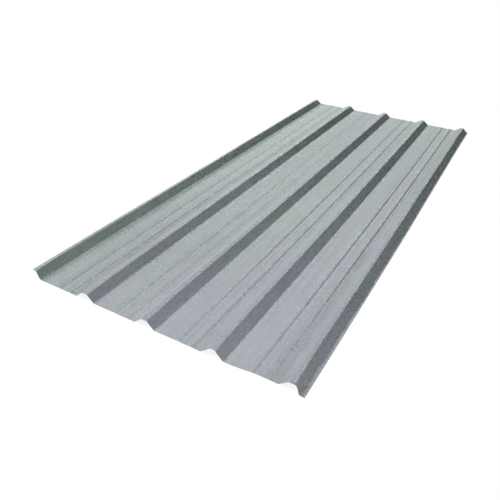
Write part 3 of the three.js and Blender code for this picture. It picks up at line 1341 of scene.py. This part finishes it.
@dataclass(frozen=True)
class FloorFinish(Finish):
    """Pale matt floor that shows as the white background and keeps the shadow that falls on it."""

    name: str = "studio_floor"
    albedo: float = 0.9
    roughness: float = 0.9
    background_share: float = 0.85
    background_glow: float = 1.03

    def build(self) -> bpy.types.Material:
        """Makes the material.

        Returns:
            The finished material.
        """
        material, graph, shader = self.start()
        shader.inputs["Base Color"].default_value = (self.albedo, self.albedo, self.albedo, 1.0)
        shader.inputs["Roughness"].default_value = self.roughness
        shader.inputs["Specular IOR Level"].default_value = 0.0
        glow = graph.result("ShaderNodeEmission", Color=(*WHITE, 1.0), Strength=self.background_glow)
        share, matt = background_rays(graph) * self.background_share, Signal(graph, shader.outputs[0])
        output = next(node for node in graph.tree.nodes if node.type == "OUTPUT_MATERIAL")
        graph.feed(output.inputs["Surface"], graph.filled("ShaderNodeMixShader", {}, share, matt, glow)[0])
        return material


@dataclass(frozen=True)
class ClothFinish(Finish):
    """Matt grey cloth, plain or evenly graded from left to right."""

    tones: Pair
    grading: Stretch = (0.0, 1.0)
    coolness: float = 1.1

    def build(self) -> bpy.types.Material:
        """Makes the material.

        Returns:
            The finished material.
        """
        material, graph, shader = self.start()
        left, right = self.tones
        cool = left * self.coolness
        shader.inputs["Base Color"].default_value = (left, cool, cool, 1.0)
        shader.inputs["Roughness"].default_value = 1.0
        if left != right:
            place = Signal(graph, graph.node("ShaderNodeTexCoord").outputs["Object"])
            tone = graph.split(place)[0].spread(*self.grading, left, right)
            cool = tone * self.coolness
            graph.feed(shader.inputs["Base Color"], graph.vector(tone, cool, cool))
        return material


def background_rays(graph: NodeGraph) -> Signal:
    """Finds the rays that see the plain white background.

    Args:
        graph: Graph of the material or world that uses it.

    Returns:
        A mask that is 1 for these rays.
    """
    path = graph.node("ShaderNodeLightPath")
    camera, glossy, transmission = (Signal(graph, path.outputs[ray.value]) for ray in Ray)
    return camera.at_least(glossy).at_least(transmission)


# ------------------------------------------------------------------------------------------ sub-assemblies


def add_object(name: str, data: bpy.types.ID) -> bpy.types.Object:
    """Puts a mesh, lamp or camera into the scene.

    Args:
        name: Name of the object.
        data: What it holds.

    Returns:
        The object, at the origin.
    """
    thing = bpy.data.objects.new(name, data)
    bpy.context.scene.collection.objects.link(thing)
    return thing


def level_corners(left: float, right: float, front: float, back: float, level: float = 0.0) -> list[Triple]:
    """Corners of a rectangle that lies level."""
    return [(left, front, level), (right, front, level), (right, back, level), (left, back, level)]


@dataclass
class RolledSheet:
    """The ribbed sheet itself, one piece of roll-formed galvanised strip."""

    sizes: SheetSizes
    facets: SheetFacets
    name: str = "rolled_sheet"

    def build(self, effects: SharedEffects) -> bpy.types.Object:
        """Rolls and dresses the sheet, and puts it in place of the frame's solid.

        Args:
            effects: The node groups that the finishes share.

        Returns:
            The finished piece.
        """
        piece = self._roll(ZincFinish().build(effects), ShearedEdgeFinish().build(effects))
        self._check(piece)
        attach(piece, "root")
        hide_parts("ribbed_sheet")
        return piece

    def _roll(self, zinc: bpy.types.Material, cut: bpy.types.Material) -> bpy.types.Object:
        """Runs the rolling tree and keeps its result as a plain mesh.

        Args:
            zinc: Finish of both faces.
            cut: Finish of the sheared walls.

        Returns:
            An object at the origin that holds the mesh and no modifier.
        """
        blank = add_object(self.name, bpy.data.meshes.new(f"{self.name}_blank"))
        tree = RollingTree(self.sizes, self.facets).tree
        modifier = blank.modifiers.new("roll", "NODES")
        modifier.node_group = tree
        materials = {"Zinc Face": zinc, "Sheared Edge": cut}
        for item in tree.interface.items_tree:
            if item.in_out == "INPUT" and item.name in materials:
                modifier[item.identifier] = materials[item.name]
        bpy.context.view_layer.update()
        rolled = blank.evaluated_get(bpy.context.evaluated_depsgraph_get())
        mesh = bpy.data.meshes.new_from_object(rolled)
        mesh.name = self.name
        blank.modifiers.remove(modifier)
        blank.data = mesh
        return blank

    def _check(self, piece: bpy.types.Object) -> None:
        """Stops the script if the sheet is open, inside out or too finely divided.

        Args:
            piece: The rolled sheet.
        """
        shape = bmesh.new()
        shape.from_mesh(piece.data)
        open_edges = sum(1 for edge in shape.edges if not edge.is_manifold)
        volume = shape.calc_volume(signed=True)
        triangles = sum(len(face.verts) - 2 for face in shape.faces)
        shape.free()
        report = "%s: %d triangles, %.1f cm3 of steel, %d open edges"
        log.info(report, piece.name, triangles, volume * 1e6, open_edges)
        if open_edges or volume <= 0 or triangles > MOST_TRIANGLES:
            raise ValueError(f"{piece.name} is open, inside out or too fine")


@dataclass
class Studio:
    """Plain white studio: floor, even ambient light, a broad lamp, and cloths for the metal to reflect."""

    floor_size: float = 60.0
    floor_drop: float = 0.0003
    ambient: float = 0.12
    key_strength: float = 3.5
    key_spread_degrees: float = 30.0
    key_direction: Triple = (0.66, 0.18, -0.73)
    flag_distance: float = 8.0
    flag_reach: Pair = (0.56, 14.0)
    flag_height: float = 12.0
    flag_grading: Stretch = (2.2, 9.0)
    dark_cloth: float = 0.012
    pale_cloth: float = 0.90
    grey_cloth: float = 0.25
    dark_runner_start: float = -0.5
    grey_runner_start: float = 1.27

    def build(self) -> None:
        """Makes the whole studio."""
        self._floor()
        self._cloths()
        self._world()
        self._key()

    def _panel(self, name: str, corners: Sequence[Triple], finish: bpy.types.Material) -> bpy.types.Object:
        """Makes a flat panel that belongs to the stage.

        Args:
            name: Name of the panel.
            corners: Its corners in order.
            finish: Its material.

        Returns:
            The panel.
        """
        mesh = bpy.data.meshes.new(name)
        mesh.from_pydata(list(corners), [], [tuple(range(len(corners)))])
        mesh.materials.append(finish)
        panel = add_object(name, mesh)
        return panel

    def _floor(self) -> None:
        """Level floor under the sheet, wide enough to reach the horizon."""
        half = self.floor_size / 2
        corners = level_corners(-half, half, -half, half, -self.floor_drop)
        self._panel("studio_floor", corners, FloorFinish().build())

    def _cloths(self) -> None:
        """Cloths that only the sheet's reflections show: dark for the right webs, and grey for the left."""
        left, right = self.flag_reach
        back, top, dark, grey = self.flag_distance, self.flag_height, self.dark_cloth, self.grey_cloth
        graded = ClothFinish("graded_cloth", (dark, self.pale_cloth), self.flag_grading)
        hanging = [(left, back, 0.0), (right, back, 0.0), (right, back, top), (left, back, top)]
        dark_run = level_corners(left, right, self.dark_runner_start, back)
        grey_run = level_corners(-left, left, self.grey_runner_start, back)
        for name, finish, corners in (
            ("graded_flag", graded, hanging),
            ("dark_runner", ClothFinish("dark_cloth", (dark, dark)), dark_run),
            ("grey_runner", ClothFinish("grey_cloth", (grey, grey)), grey_run),
        ):
            panel = self._panel(name, corners, finish.build())
            for ray in ("camera", "diffuse", "transmission", "volume_scatter", "shadow"):
                setattr(panel, f"visible_{ray}", False)

    def _world(self) -> None:
        """Even ambient light, and plain white for what the camera and the metal see of it."""
        world = bpy.data.worlds.new("studio_world")
        world.use_nodes = True
        world.node_tree.nodes.clear()
        graph = NodeGraph(world.node_tree)
        strength = background_rays(graph).spread(0.0, 1.0, self.ambient, 1.0)
        light = graph.result("ShaderNodeBackground", Color=(*WHITE, 1.0), Strength=strength)
        graph.node("ShaderNodeOutputWorld", Surface=light)
        bpy.context.scene.world = world

    def _key(self) -> None:
        """Broad soft lamp from the left of the camera, the same all over the sheet."""
        lamp = bpy.data.lights.new("key_lamp", "SUN")
        lamp.energy, lamp.angle, lamp.color = self.key_strength, math.radians(self.key_spread_degrees), WHITE
        holder = add_object("key_lamp", lamp)
        holder.rotation_euler = Vector(self.key_direction).to_track_quat("-Z", "Y").to_euler()


@dataclass(frozen=True)
class ViewCamera:
    """Camera that looks over the near right corner of the sheet, held a little out of level."""

    place: Triple = (0.8243, -2.1763, 1.0847)
    aim: Triple = (0.0334, -0.6867, 0.0)
    roll_degrees: float = 2.772
    lens_mm: float = 37.184
    sensor_mm: float = 36.0
    sight: Pair = (0.05, 200.0)

    def build(self) -> bpy.types.Object:
        """Makes the camera and gives the scene to it.

        Returns:
            The camera.
        """
        data = bpy.data.cameras.new("view_camera")
        data.lens, data.sensor_width, data.sensor_fit = self.lens_mm, self.sensor_mm, "AUTO"
        data.clip_start, data.clip_end = self.sight
        camera = add_object("view_camera", data)
        level = (Vector(self.aim) - Vector(self.place)).normalized().to_track_quat("-Z", "Y")
        camera.rotation_mode = "QUATERNION"
        camera.location = self.place
        camera.rotation_quaternion = level @ Quaternion((0.0, 0.0, 1.0), math.radians(self.roll_degrees))
        bpy.context.scene.camera = camera
        return camera


# ------------------------------------------------------------------------------------------------- script


def main() -> None:
    """Builds the camera, the studio and the sheet, in that order."""
    logging.basicConfig(level=logging.INFO, format="%(message)s")
    scene = bpy.context.scene
    scene.view_settings.view_transform = "Standard"
    camera = ViewCamera().build()
    log.info("%s at %s", camera.name, tuple(round(value, 3) for value in camera.location))
    Studio().build()
    log.info("studio with floor, cloths, world and key lamp")
    sheet = RolledSheet(SheetSizes(), SheetFacets()).build(SharedEffects(GrainGroup(), SpangleGroup()))
    log.info("%s in place of ribbed_sheet", sheet.name)


if __name__ == "__main__":
    main()
